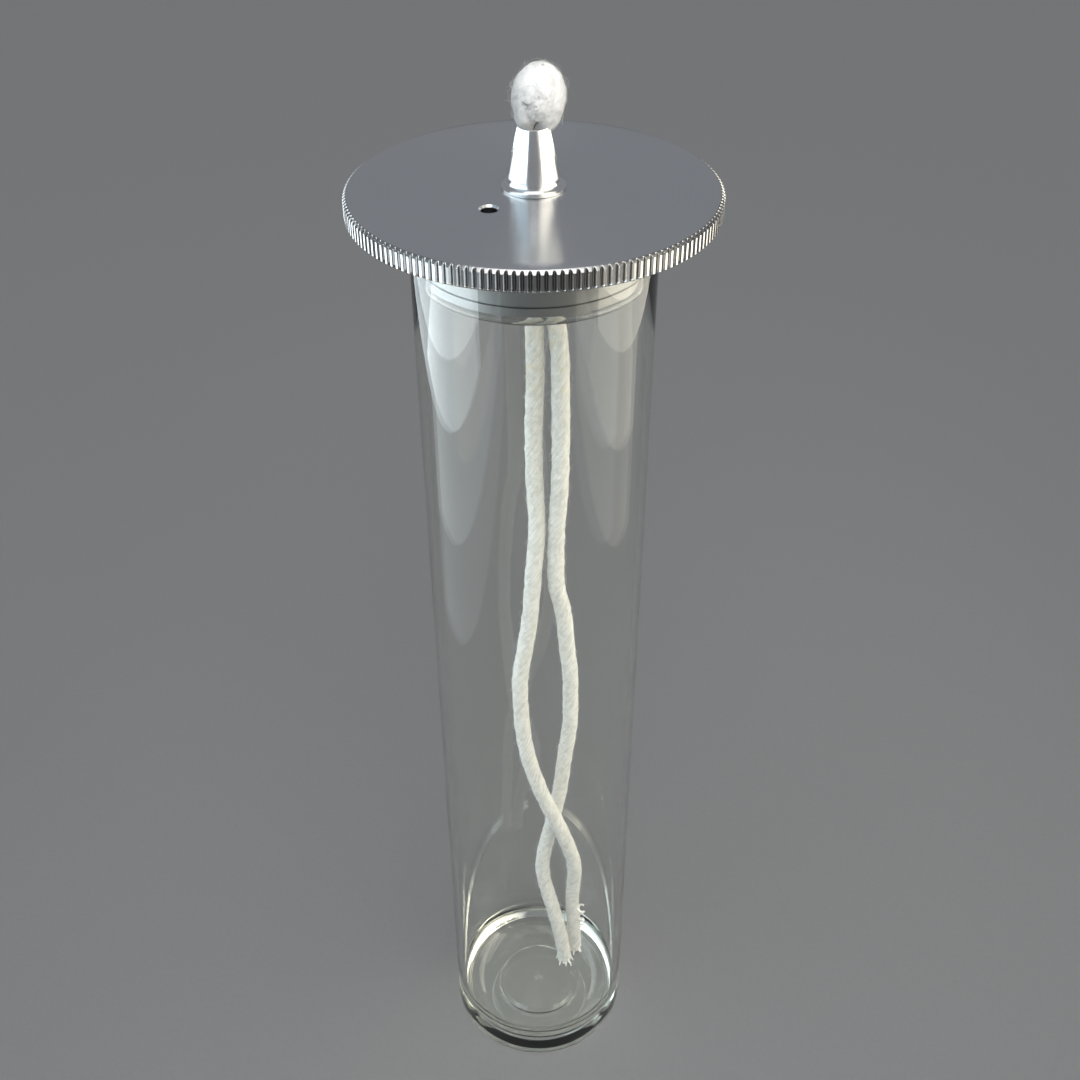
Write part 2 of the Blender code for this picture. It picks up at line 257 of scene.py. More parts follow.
def make_world():
    """A soft light tent: dim all round, with a bright patch overhead, a cool one left and a warm one right."""
    world = bpy.data.worlds.new("studio")
    world.use_nodes = True
    tree = world.node_tree
    direction = node(tree, "ShaderNodeTexCoord").outputs["Generated"]
    tone = node(tree, "ShaderNodeMix", {6: DOME_TONE, 7: DOME_TONE}, data_type="RGBA").outputs[2]
    for middle, start, full, radiance in PATCHES:
        towards = tuple(Vector(middle).normalized())
        product = node(tree, "ShaderNodeVectorMath", {0: direction, 1: towards}, operation="DOT_PRODUCT")
        cosine = product.outputs["Value"]
        share = ramp(tree, cosine, start, full)
        inputs = {0: share, 6: tone, 7: radiance}
        tone = node(tree, "ShaderNodeMix", inputs, data_type="RGBA", blend_type="ADD").outputs[2]
    tree.links.new(tone, tree.nodes["Background"].inputs["Color"])
    bpy.context.scene.world = world


def make_cards():
    """A tall card on each side, in strips of their own brightness, which streak metal and glass."""
    for side, x, tint, share in CARDS:
        for number, (bottom, top, near, far, radiance) in enumerate(CARD_STRIPS):
            middle = Vector((x, (near + far) / 2, (bottom + top) / 2))
            size = (far - near, top - bottom)
            softbox(f"card_{side}_{number}", middle, (0, middle.y, middle.z), size, tint, radiance * share)


def make_floor(finish):
    bm = bmesh.new()
    bmesh.ops.create_circle(bm, cap_ends=True, segments=96, radius=4)
    mesh = bpy.data.meshes.new("floor")
    bm.to_mesh(mesh)
    bm.free()
    mesh.materials.append(finish)
    floor = bpy.data.objects.new("floor", mesh)
    floor.location.z = -FLOOR_DROP
    bpy.context.scene.collection.objects.link(floor)


# Material helpers


def new_material(name):
    """A material, its node tree and its Principled shader."""
    made = bpy.data.materials.new(name)
    made.use_nodes = True
    tree = made.node_tree
    return made, tree, tree.nodes["Principled BSDF"]


def node(tree, kind, inputs=None, **settings):
    """A node with its settings, and with values or links in its inputs."""
    made = tree.nodes.new(kind)
    for key, value in settings.items():
        setattr(made, key, value)
    for socket, value in (inputs or {}).items():
        if isinstance(value, bpy.types.NodeSocket):
            tree.links.new(value, made.inputs[socket])
        else:
            made.inputs[socket].default_value = value
    return made


def math(tree, operation, first, second=0.0, third=0.0):
    return node(tree, "ShaderNodeMath", {0: first, 1: second, 2: third}, operation=operation).outputs[0]


def ramp(tree, value, low, high, to_low=0.0, to_high=1.0):
    """value mapped smoothly from low..high to to_low..to_high."""
    inputs = {"Value": value, "From Min": low, "From Max": high, "To Min": to_low, "To Max": to_high}
    return node(tree, "ShaderNodeMapRange", inputs, interpolation_type="SMOOTHSTEP").outputs[0]


def mix_colour(tree, share, first, second):
    inputs = {0: share, 6: first, 7: second}
    return node(tree, "ShaderNodeMix", inputs, data_type="RGBA").outputs[2]


def object_place(tree):
    """The object's own coordinates, and their x, y and z."""
    place = node(tree, "ShaderNodeTexCoord").outputs["Object"]
    parts = node(tree, "ShaderNodeSeparateXYZ", {0: place}).outputs
    return place, parts


def noise_at(tree, vector, scale, detail=2.0, roughness=0.5):
    inputs = {"Vector": vector, "Scale": scale, "Detail": detail, "Roughness": roughness}
    return node(tree, "ShaderNodeTexNoise", inputs).outputs["Fac"]


def axis_distance(tree, parts):
    squares = [math(tree, "MULTIPLY", part, part) for part in (parts[0], parts[1])]
    return math(tree, "SQRT", math(tree, "ADD", *squares))


# Materials


def turned_metal(name, colour, roughness, anisotropy, groove_scale, groove_height, rim=None):
    """Metal turned on a lathe: fine grooves round the axis, which draw its highlights out across them.

    rim is the knurled rim's inner radius, its slots' radius, its teeth's radius, the height of its chamfer's foot,
    and the height of the disc's underside, below which the metal is duller. The rim, and its slots more so, are
    painted darker than the plate: painted shade.
    """
    made, tree, shader = new_material(name)
    place, parts = object_place(tree)
    radius = axis_distance(tree, parts)
    groove_place = node(tree, "ShaderNodeCombineXYZ", {0: radius, 1: parts[2], 2: 0.0}).outputs[0]
    grooves = noise_at(tree, groove_place, groove_scale, 3, 0.7)
    smudges = noise_at(tree, place, 70, 3, 0.6)
    tone = mix_colour(tree, ramp(tree, grooves, 0.3, 0.7), (*[c * 0.94 for c in colour], 1), (*colour, 1))
    rough = ramp(tree, smudges, 0.3, 0.75, roughness * 0.98, roughness * 1.02)
    shader.inputs["Anisotropic"].default_value = anisotropy
    if rim:
        inner, valley, crest, chamfer_foot, underside = rim
        on_rim = ramp(tree, radius, inner, inner + 0.2 * MM)
        below_disc = ramp(tree, parts[2], underside, underside - 0.2 * MM)
        dull = math(tree, "MAXIMUM", on_rim, below_disc)
        drawn_out = ramp(tree, dull, 0, 1, anisotropy, DULL_ANISOTROPY)
        tree.links.new(drawn_out, shader.inputs["Anisotropic"])
        rough = math(tree, "ADD", rough, math(tree, "MULTIPLY", below_disc, SPIGOT_ROUGHENING))
        # Painted shade: the knurled rim's colour is darker than the plate's.
        tone = mix_colour(tree, on_rim, tone, (*[c * k for c, k in zip(colour, RIM_PAINTED_SHADE)], 1))
        # Painted shade: the slots below the chamfer are darker still.
        below_chamfer = ramp(tree, parts[2], chamfer_foot, chamfer_foot - 0.3 * MM)
        painted_slot_shade = math(tree, "MULTIPLY", ramp(tree, radius, crest, valley), below_chamfer)
        tone = mix_colour(tree, painted_slot_shade, tone, (*[c * SLOT_PAINTED_SHADE for c in colour], 1))
    tree.links.new(tone, shader.inputs["Base Color"])
    tree.links.new(rough, shader.inputs["Roughness"])
    shader.inputs["Metallic"].default_value = 1
    shader.inputs["Anisotropic Rotation"].default_value = 0.25
    tangent = node(tree, "ShaderNodeTangent", direction_type="RADIAL", axis="Z")
    tree.links.new(tangent.outputs[0], shader.inputs["Tangent"])
    bump = node(tree, "ShaderNodeBump", {"Height": grooves, "Strength": 1.0, "Distance": groove_height})
    tree.links.new(bump.outputs[0], shader.inputs["Normal"])
    return made


def clear_material(name, colour, ior, roughness, wave_height, edge_shadow, absorption=None):
    """Clear glass or silicone. Lamps shine through it, less so where it is seen edge on."""
    made, tree, shader = new_material(name)
    shader.inputs["Base Color"].default_value = (*colour, 1)
    shader.inputs["Roughness"].default_value = roughness
    shader.inputs["IOR"].default_value = ior
    shader.inputs["Transmission Weight"].default_value = 1
    place, _ = object_place(tree)
    waves = noise_at(tree, place, 45, 1, 0.4)
    bump = node(tree, "ShaderNodeBump", {"Height": waves, "Strength": 1.0, "Distance": wave_height})
    tree.links.new(bump.outputs[0], shader.inputs["Normal"])
    facing = node(tree, "ShaderNodeLayerWeight", {"Blend": 0.25}).outputs["Facing"]
    shade = mix_colour(tree, ramp(tree, facing, 0.2, 0.95), (0.97, 0.97, 0.97, 1), (*[edge_shadow] * 3, 1))
    passing = node(tree, "ShaderNodeBsdfTransparent", {"Color": shade}).outputs[0]
    shadow_ray = node(tree, "ShaderNodeLightPath").outputs["Is Shadow Ray"]
    both = node(tree, "ShaderNodeMixShader", {0: shadow_ray, 1: shader.outputs[0], 2: passing})
    output = tree.nodes["Material Output"]
    tree.links.new(both.outputs[0], output.inputs["Surface"])
    if absorption:
        tint, density = absorption
        volume = node(tree, "ShaderNodeVolumeAbsorption", {"Color": (*tint, 1), "Density": density})
        tree.links.new(volume.outputs[0], output.inputs["Volume"])
    return made


def cotton(name, low_tint, high_tint, stained=False):
    """Soft white cotton with yarns along the rope, and a faint stain where the wick leaves the lid."""
    made, tree, shader = new_material(name)
    place, parts = object_place(tree)
    rope_place = node(tree, "ShaderNodeUVMap", uv_map="rope").outputs[0]
    stretched = node(tree, "ShaderNodeMapping", {"Vector": rope_place, "Scale": (26, 2.4, 1)}).outputs[0]
    yarns = noise_at(tree, stretched, 1.0, 4, 0.62)
    clumps = noise_at(tree, place, 900, 3, 0.6)
    tone = mix_colour(tree, ramp(tree, yarns, 0.3, 0.68), (*low_tint, 1), (*high_tint, 1))
    # Painted shade: the cotton is darker where the clumps' bump sinks.
    painted_hollow_shade = math(tree, "MULTIPLY", ramp(tree, clumps, 0.56, 0.36), 0.4)
    tone = mix_colour(tree, painted_hollow_shade, tone, (*[c * 0.8 for c in low_tint], 1))
    if stained:
        blots = ramp(tree, noise_at(tree, place, 420, 3, 0.6), 0.5, 0.66)
        fades_in, fades_out = ramp(tree, parts[2], 0.165, 0.177), ramp(tree, parts[2], 0.189, 0.186)
        band = math(tree, "MULTIPLY", fades_in, fades_out)
        share = math(tree, "MULTIPLY", math(tree, "MULTIPLY", blots, band), STAIN_SHARE)
        tone = mix_colour(tree, share, tone, STAIN_COLOUR)
    tree.links.new(tone, shader.inputs["Base Color"])
    shader.inputs["Roughness"].default_value = 0.95
    shader.inputs["Sheen Weight"].default_value = 0.25
    shader.inputs["Sheen Roughness"].default_value = 0.5
    shader.inputs["Specular IOR Level"].default_value = 0.2
    height = math(tree, "ADD", math(tree, "MULTIPLY", yarns, 0.7), math(tree, "MULTIPLY", clumps, 0.5))
    bump = node(tree, "ShaderNodeBump", {"Height": height, "Strength": 1.0, "Distance": 0.09 * MM})
    tree.links.new(bump.outputs[0], shader.inputs["Normal"])
    return made


def thread_cotton(name, tint):
    """Loose cotton fibres and yarn ends, with a little variation from place to place."""
    made, tree, shader = new_material(name)
    place, _ = object_place(tree)
    patches = noise_at(tree, place, 600, 2, 0.5)
    tone = mix_colour(tree, ramp(tree, patches, 0.35, 0.65), (*[c * 0.88 for c in tint], 1), (*tint, 1))
    tree.links.new(tone, shader.inputs["Base Color"])
    shader.inputs["Roughness"].default_value = 0.9
    shader.inputs["Specular IOR Level"].default_value = 0.2
    return made


def plated_steel(name):
    made, tree, shader = new_material(name)
    place, _ = object_place(tree)
    spangle = noise_at(tree, place, 500, 3, 0.6)
    tone = mix_colour(tree, ramp(tree, spangle, 0.35, 0.65), (0.5, 0.5, 0.47, 1), (0.63, 0.63, 0.62, 1))
    tree.links.new(tone, shader.inputs["Base Color"])
    tree.links.new(ramp(tree, spangle, 0.3, 0.7, 0.26, 0.4), shader.inputs["Roughness"])
    shader.inputs["Metallic"].default_value = 1
    bump = node(tree, "ShaderNodeBump", {"Height": spangle, "Strength": 0.4, "Distance": 0.02 * MM})
    tree.links.new(bump.outputs[0], shader.inputs["Normal"])
    return made


def floor_paper(name):
    made, tree, shader = new_material(name)
    place, _ = object_place(tree)
    fibre = noise_at(tree, place, 900, 3, 0.6)
    tone = mix_colour(tree, fibre, (0.2, 0.2, 0.205, 1), (0.22, 0.22, 0.225, 1))
    tree.links.new(tone, shader.inputs["Base Color"])
    shader.inputs["Roughness"].default_value = 0.85
    shader.inputs["Specular IOR Level"].default_value = 0.2
    return made


# Mesh helpers


def arc(centre_r, centre_z, radius, start, end, steps):
    """Profile points (r, z) along an arc, with its angles in degrees from +r."""
    angles = [radians(start + (end - start) * i / steps) for i in range(steps + 1)]
    return [(centre_r + radius * cos(a), centre_z + radius * sin(a)) for a in angles]


def new_piece(name, mesh, finish, body, nodes):
    """A shown piece from mesh, on its CAD body, standing for the CAD nodes named."""
    mesh.materials.append(finish)
    piece = bpy.data.objects.new(name, mesh)
    bpy.context.scene.collection.objects.link(piece)
    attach(piece, body)
    if nodes:
        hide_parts(*nodes)
    return piece


def finished_mesh(name, verts, faces, sharp_angle=30):
    """A mesh with outward normals, smooth between its sharp edges."""
    mesh = bpy.data.meshes.new(name)
    mesh.from_pydata(verts, [], faces)
    bm = bmesh.new()
    bm.from_mesh(mesh)
    bmesh.ops.recalc_face_normals(bm, faces=bm.faces)
    bm.to_mesh(mesh)
    bm.free()
    mesh.shade_smooth()
    mesh.set_sharp_from_angle(angle=radians(sharp_angle))
    return mesh


def lathe(name, profile, steps, closed=False, shape=None):
    """A mesh turned round Z from profile points (r, z) or (r, z, steps of that ring).

    shape(r, z, angle) may change a ring's radius round its circle. A closed profile joins its last point to its
    first.
    """
    verts, faces, rings = [], [], []
    for point in profile:
        r, z = point[:2]
        count = point[2] if len(point) > 2 else steps
        first = len(verts)
        if r == 0:
            count = 1
        for step in range(count):
            angle = 2 * pi * step / count
            reach = shape(r, z, angle) if shape else r
            verts.append((reach * cos(angle), reach * sin(angle), z))
        rings.append((first, count))
    pairs = list(zip(rings, rings[1:]))
    if closed:
        pairs.append((rings[-1], rings[0]))
    for one, other in pairs:
        (wide, many), (narrow, few) = (one, other) if one[1] >= other[1] else (other, one)
        share = many // few
        for step in range(few):
            outer = [wide + (step * share + i) % many for i in range(share + 1)]
            if few == 1:
                faces += [(outer[i], outer[i + 1], narrow) for i in range(share)]
            else:
                faces.append((*outer, narrow + (step + 1) % few, narrow + step))
    return finished_mesh(name, verts, faces)


def cut(piece, cutter_mesh, place):
    """Cuts the cutter's shape out of a piece and drops the cutter."""
    cutter = bpy.data.objects.new("cutter", cutter_mesh)
    cutter.location = place
    bpy.context.scene.collection.objects.link(cutter)
    modifier = piece.modifiers.new("cut", "BOOLEAN")
    modifier.operation = "DIFFERENCE"
    modifier.solver = "EXACT"
    modifier.object = cutter
    graph = bpy.context.evaluated_depsgraph_get()
    mesh = bpy.data.meshes.new_from_object(piece.evaluated_get(graph), depsgraph=graph)
    piece.modifiers.clear()
    bpy.data.objects.remove(cutter)
    mesh.shade_smooth()
    mesh.set_sharp_from_angle(angle=radians(30))
    piece.data = mesh


# Rope and threads


def smooth_route(route, step):
    """Evenly spaced points, in metres, on the Catmull-Rom curve through a route's points in millimetres."""
    points = np.array(route, float) * MM
    points = np.vstack([2 * points[0] - points[1], points, 2 * points[-1] - points[-2]])
    t = np.linspace(0, 1, 25)[:-1, None]
    fine = []
    for a, b, c, d in zip(points, points[1:], points[2:], points[3:]):
        bend = (2 * a - 5 * b + 4 * c - d) * t ** 2 + (3 * b - 3 * c + d - a) * t ** 3
        fine.append(b + ((c - a) * t + bend) / 2)
    fine = np.vstack([*fine, points[-2]])
    along = np.concatenate([[0], np.cumsum(np.linalg.norm(np.diff(fine, axis=0), axis=1))])
    even = np.linspace(0, along[-1], round(along[-1] / step) + 1)
    return np.stack([np.interp(even, along, fine[:, k]) for k in range(3)], axis=1)


def unit(vectors):
    return vectors / np.linalg.norm(vectors, axis=-1, keepdims=True)


class Rope:
    """A twisted rope along a smooth line, whose surface is found by distance along it and turn round it."""

    def __init__(self, points, radii):
        self.points = points
        self.radii = radii
        self.along = np.concatenate([[0], np.cumsum(np.linalg.norm(np.diff(points, axis=0), axis=1))])
        self.length = self.along[-1]
        tangents = unit(np.gradient(points, axis=0))
        normal = unit(np.cross(tangents[0], (0, 1, 0)))
        normals = []
        for tangent in tangents:
            normal = unit(normal - tangent * (normal @ tangent))
            normals.append(normal)
        self.normals = np.array(normals)
        self.sides = np.cross(tangents, self.normals)

    def at(self, values, along):
        return np.stack([np.interp(along, self.along, values[:, k]) for k in range(3)], axis=-1)

    def surface(self, along, turn, lift=0.0):
        """Points at a turn, in radians on the plies, and lifted off the rope's surface."""
        angle = (turn + 2 * pi * along / TWIST_LENGTH)[..., None]
        lobe = np.abs(np.cos(turn * PLIES / 2))
        reach = np.interp(along, self.along, self.radii) * (1 - PLY_GROOVE * (1 - lobe) ** 1.4) + lift
        out = unit(self.at(self.normals, along) * np.cos(angle) + self.at(self.sides, along) * np.sin(angle))
        return self.at(self.points, along) + out * reach[..., None]


def rope_mesh(name, rope, seed, roughness):
    """The rope's skin, with lumps of the given height, round ends and a map named rope along its yarns."""
    rings = len(rope.points)
    end = np.minimum(rope.along, rope.length - rope.along)
    rounding = np.sqrt(np.clip(end / (1.1 * MM), 0.03, 1))
    rope.radii = rope.radii * rounding
    turns = np.arange(ROPE_SIDES) * 2 * pi / ROPE_SIDES
    along, turn = np.meshgrid(rope.along, turns, indexing="ij")
    skin = rope.surface(along, turn)
    centres = rope.points[:, None, :]
    offset = Vector((seed * 17.3, seed * 5.1, 0))
    lumps = np.array([
        noise.noise(Vector(point) / (1.1 * MM) + offset)
        + 0.5 * noise.noise(Vector(point) / (0.4 * MM) + offset)
        for point in skin.reshape(-1, 3)
    ])
    outward = unit(skin - centres)
    skin = skin + outward * (lumps * roughness).reshape(rings, ROPE_SIDES, 1) * rounding[:, None, None]
    verts = [tuple(v) for v in skin.reshape(-1, 3)] + [tuple(rope.points[0]), tuple(rope.points[-1])]
    faces = []
    for ring in range(rings - 1):
        for side in range(ROPE_SIDES):
            after = (side + 1) % ROPE_SIDES
            near, far = ring * ROPE_SIDES, (ring + 1) * ROPE_SIDES
            faces.append((near + side, near + after, far + after, far + side))
    first, last = rings * ROPE_SIDES, rings * ROPE_SIDES + 1
    for side in range(ROPE_SIDES):
        after = (side + 1) % ROPE_SIDES
        faces.append((first, after, side))
        faces.append((last, (rings - 1) * ROPE_SIDES + side, (rings - 1) * ROPE_SIDES + after))
    mesh = bpy.data.meshes.new(name)
    mesh.from_pydata(verts, [], faces)
    mesh.shade_smooth()
    add_rope_map(mesh, rope, rings)
    return mesh


def add_rope_map(mesh, rope, rings):
    """A UV map in rope radii: u round the rope and v along it."""
    layer = mesh.uv_layers.new(name="rope")
    corners = np.zeros(len(mesh.loops), np.int32)
    mesh.loops.foreach_get("vertex_index", corners)
    ring, side = np.divmod(corners, ROPE_SIDES)
    ring = np.minimum(ring, rings - 1)
    quads = (rings - 1) * ROPE_SIDES * 4
    wraps = np.zeros(len(corners), bool)
    wraps[:quads] = (np.repeat(side[:quads].reshape(-1, 4).max(1) == ROPE_SIDES - 1, 4)) & (side[:quads] == 0)
    u = (side + wraps * ROPE_SIDES) / ROPE_SIDES
    v = rope.along[ring] / (2 * pi * STRAND_RADIUS)
    layer.data.foreach_set("uv", np.stack([u, v], axis=1).astype(np.float32).ravel())


def thread_mesh(name, lines, radii, sides):
    """Many thin closed tubes in one mesh.

    lines has the shape (count, points, 3), and radii has the shape (count, points).
    """
    count, points = lines.shape[:2]
    tangents = unit(np.gradient(lines, axis=1))
    across = np.cross(tangents, (0.31, 0.52, 0.79))
    across = unit(across)
    other = np.cross(tangents, across)
    angles = np.arange(sides) * 2 * pi / sides
    spokes = across[:, :, None] * np.cos(angles)[:, None] + other[:, :, None] * np.sin(angles)[:, None]
    verts = (lines[:, :, None] + spokes * radii[:, :, None, None]).reshape(-1, 3)
    faces = []
    for thread in range(count):
        start = thread * points * sides
        for point in range(points - 1):
            near, far = start + point * sides, start + (point + 1) * sides
            for side in range(sides):
                after = (side + 1) % sides
                faces.append((near + side, near + after, far + after, far + side))
        faces.append(tuple(range(start + sides - 1, start - 1, -1)))
        end = start + (points - 1) * sides
        faces.append(tuple(range(end, end + sides)))
    mesh = bpy.data.meshes.new(name)
    mesh.from_pydata(verts.tolist(), [], faces)
    mesh.shade_smooth()
    return mesh


def fuzz_mesh(name, rope, count, seed, reach, start=0.0, stop=1.0):
    """Loose fibres over a rope: most lie along its plies, and some stand off it by up to reach."""
    dice = np.random.default_rng(seed)
    t = np.linspace(0, 1, 7)[None, :]
    begin = rope.length * (start + (stop - start) * dice.random((count, 1)))
    turn = dice.random((count, 1)) * 2 * pi
    length = dice.uniform(0.9, 2.8, (count, 1)) * MM
    heading = dice.normal(0, 0.75, (count, 1)) + pi * (dice.random((count, 1)) < 0.5)
    curl = dice.normal(0, 0.9, (count, 1))
    along = np.clip(begin + length * t * np.cos(heading), 0, rope.length)
    turn = turn + length * (t * np.sin(heading) + curl * t ** 2 * 0.5) / STRAND_RADIUS
    stand = reach * dice.random((count, 1)) ** 2.5
    lift = 0.02 * MM + stand * t ** 1.6
    lines = rope.surface(along, turn, lift)
    wander = np.cumsum(dice.normal(0, 0.03 * MM, lines.shape), axis=1)
    thickness = dice.uniform(0.011, 0.02, (count, 1)) * MM * (1 - 0.6 * t)
    return thread_mesh(name, lines + wander, thickness, 3)


# Pieces


def make_glass_tube(finish):
    profile = [(0, FLOOR_THICKNESS + PIP_HEIGHT)]
    for x in (0.2, 0.4, 0.6, 0.8, 1):
        profile.append((PIP_RADIUS * x, FLOOR_THICKNESS + PIP_HEIGHT * (0.5 + 0.5 * cos(pi * x))))
    moat = FLOOR_THICKNESS - MOAT_DEPTH
    profile += [(PUNT_RADIUS - 1 * MM, FLOOR_THICKNESS)]
    profile += [(PUNT_RADIUS - 0.5 * MM, FLOOR_THICKNESS - 0.05 * MM)]
    profile += [(PUNT_RADIUS, FLOOR_THICKNESS - MOAT_DEPTH / 2), (PUNT_RADIUS + 0.5 * MM, moat + 0.05 * MM)]
    corner = TUBE_BORE - INNER_CORNER
    profile += arc(corner, moat + INNER_CORNER, INNER_CORNER, -90, 0, 24)
    profile += [(TUBE_BORE, TUBE_HEIGHT * k / 10) for k in range(1, 10)]
    profile += arc(TUBE_RADIUS - TUBE_WALL / 2, TUBE_HEIGHT - TUBE_WALL / 2, TUBE_WALL / 2, 180, 0, 16)
    profile += [(TUBE_RADIUS, TUBE_HEIGHT * k / 10) for k in range(9, 0, -1)]
    profile += arc(TUBE_RADIUS - OUTER_CORNER, OUTER_CORNER, OUTER_CORNER, 0, -90, 14)
    profile += [(PUNT_RADIUS + 0.9 * MM, 0), (PUNT_RADIUS + 0.4 * MM, 0.05 * MM), (PUNT_RADIUS, 0.2 * MM)]
    profile += [(PUNT_RADIUS * x, PUNT_DEPTH * cos(x * pi / 2.6)) for x in (0.9, 0.75, 0.5, 0.25)]
    profile += [(0, PUNT_DEPTH)]
    mesh = lathe("tube_glass", profile, TUBE_STEPS)
    return new_piece("tube_glass", mesh, finish, "tube", ["glass_tube"])


def knurled(r, z, angle):
    """The knurled rim's radius: straight slots cut into the rim, below its chamfers."""
    if r < DISC_RADIUS - RIM_CHAMFER - 0.01 * MM:
        return r
    place = (angle * KNURL_TEETH / (2 * pi)) % 1
    across = abs(place - 0.5) / (KNURL_SLOT / 2)
    slot = max(0, 1 - across ** 3)
    return min(r, DISC_RADIUS - KNURL_DEPTH * slot)


def make_lid(finish):
    top, under = DISC_TOP, DISC_UNDERSIDE
    fine, plate = FINE_STEPS, LID_STEPS
    groove_top, groove_end = GROOVE_HEIGHT + GROOVE_WIDTH / 2, GROOVE_HEIGHT - GROOVE_WIDTH / 2
    profile = [(LID_HOLE_RADIUS, under), (LID_HOLE_RADIUS, top - EDGE_BREAK)]
    profile += [(LID_HOLE_RADIUS + EDGE_BREAK, top)]
    profile += [(r * MM, top) for r in (8, 14, 19)]
    profile += [(PLATE_EDGE, top), (PLATE_EDGE + 0.5 * MM, top, fine)]
    for share in (0, 0.1, 0.25, 0.4, 0.55, 0.7, 0.85, 1):
        r = DISC_RADIUS - RIM_CHAMFER * (1 - share)
        profile.append((r, top - RIM_CHAMFER_HEIGHT * share ** 1.25, fine))
    for share in (0.12, 0.35, 0.6, 0.85, 1):
        drop = under + LOWER_CHAMFER - (top - RIM_CHAMFER_HEIGHT)
        profile.append((DISC_RADIUS, top - RIM_CHAMFER_HEIGHT + drop * share, fine))
    for share in (0.3, 0.6, 0.85, 1):
        r = DISC_RADIUS - (LOWER_CHAMFER + 0.15 * MM) * share
        profile.append((r, under + LOWER_CHAMFER * (1 - share), fine))
    profile += [(PLATE_EDGE + 0.5 * MM, under, fine), (PLATE_EDGE, under)]
    profile += [(SPIGOT_RADIUS + 0.4 * MM, under), (SPIGOT_RADIUS + 0.1 * MM, under - 0.1 * MM)]
    profile += [(SPIGOT_RADIUS, under - 0.4 * MM), (SPIGOT_RADIUS, groove_top)]
    profile += [(SPIGOT_RADIUS - GROOVE_DEPTH, groove_top - 0.05 * MM)]
    profile += [(SPIGOT_RADIUS - GROOVE_DEPTH, groove_end + 0.05 * MM), (SPIGOT_RADIUS, groove_end)]
    profile += [(SPIGOT_RADIUS, SPIGOT_END + EDGE_BREAK), (SPIGOT_RADIUS - EDGE_BREAK, SPIGOT_END)]
    profile += [(SEAT_RADIUS, SPIGOT_END), (SEAT_RADIUS, LID_END + EDGE_BREAK)]
    profile += [(SEAT_RADIUS - EDGE_BREAK, LID_END), (SPIGOT_BORE + EDGE_BREAK, LID_END)]
    profile += [(SPIGOT_BORE, LID_END + EDGE_BREAK), (SPIGOT_BORE, under)]
    mesh = lathe("lid_turned", profile, plate, closed=True, shape=knurled)
    lid = new_piece("lid_turned", mesh, finish, "lid", ["lid"])
    beyond = 1 * MM
    vent = [(0, top + beyond), (VENT_RADIUS + VENT_CHAMFER + beyond, top + beyond)]
    vent += [(VENT_RADIUS, top - VENT_CHAMFER), (VENT_RADIUS, under - beyond), (0, under - beyond)]
    cut(lid, lathe("vent", vent, 48), VENT_PLACE)
    return lid


def make_seal(finish):
    profile = arc(SEAL_RADIUS, SEAL_HEIGHT, SEAL_SECTION, 0, -345, 23)
    mesh = lathe("seal_ring_clear", profile, SEAL_STEPS, closed=True)
    return new_piece("seal_ring_clear", mesh, finish, "seal", ["lid_seal_ring"])


def make_nozzle(finish):
    foot = DISC_TOP + 0.05 * MM
    lip = 0.15 * MM
    thread_depth = 0.25 * MM
    profile = arc(TIP_RADIUS - lip, NOZZLE_TIP - lip, lip, 90, 10, 5)
    profile += [(CONE_RADIUS, DISC_TOP + CONE_START + 0.1 * MM)]
    profile += [(CONE_RADIUS, DISC_TOP + CONE_START - 0.1 * MM)]
    fillet = FOOT_RADIUS - NECK_RADIUS
    flare_height = NECK_HEIGHT - FOOT_EDGE
    for k in range(9):
        a = radians(90 * k / 8)
        profile.append((NECK_RADIUS + fillet * (1 - cos(a)), DISC_TOP + NECK_HEIGHT - flare_height * sin(a)))
    profile += [(FOOT_RADIUS, DISC_TOP + FOOT_EDGE - 0.05 * MM), (FOOT_RADIUS, foot), (SHANK_RADIUS, foot)]
    profile += [(SHANK_RADIUS, DISC_UNDERSIDE)]
    turns = 8
    pitch = (DISC_UNDERSIDE - 0.5 * MM - SHANK_END) / turns
    for k in range(turns):
        z = DISC_UNDERSIDE - 0.25 * MM - k * pitch
        profile += [(SHANK_RADIUS, z), (SHANK_RADIUS - thread_depth, z - pitch / 2)]
    profile += [(SHANK_RADIUS - thread_depth, SHANK_END), (SHANK_BORE, SHANK_END)]
    profile += [(SHANK_BORE, SHANK_BORE_TOP), (TIP_BORE, TIP_BORE_START), (TIP_BORE, NOZZLE_TIP - 0.1 * MM)]
    profile += [(TIP_BORE + 0.1 * MM, NOZZLE_TIP)]
    mesh = lathe("nozzle_turned", profile, NOZZLE_STEPS, closed=True)
    return new_piece("nozzle_turned", mesh, finish, "lid", ["wick_nozzle"])


def make_nut(finish):
    """A thin hexagon nut: a round blank cut to six flats, with its corners chamfered by a cone."""
    flat = NUT_ACROSS_FLATS / 2
    corner = flat / cos(pi / 6)
    bevel = 0.45 * MM

    def hexagon(r, z, angle):
        if r < flat * 0.9:
            return r
        return min(r, flat / cos((angle + pi / 6) % (pi / 3) - pi / 6))

    outside = [(flat * 0.95, NUT_TOP), (corner - 0.75 * MM, NUT_TOP - 0.02 * MM), (corner, NUT_TOP - bevel)]
    outside += [(corner, NUT_BOTTOM + bevel), (corner - 0.75 * MM, NUT_BOTTOM + 0.02 * MM)]
    outside += [(flat * 0.95, NUT_BOTTOM)]
    bore = [(NUT_BORE + 0.3 * MM, NUT_BOTTOM), (NUT_BORE, NUT_BOTTOM + 0.3 * MM)]
    bore += [(NUT_BORE, NUT_TOP - 0.3 * MM), (NUT_BORE + 0.3 * MM, NUT_TOP)]
    mesh = lathe("nut_plated", outside + bore, 144, closed=True, shape=hexagon)
    return new_piece("nut_plated", mesh, finish, "lid", ["nozzle_nut"])


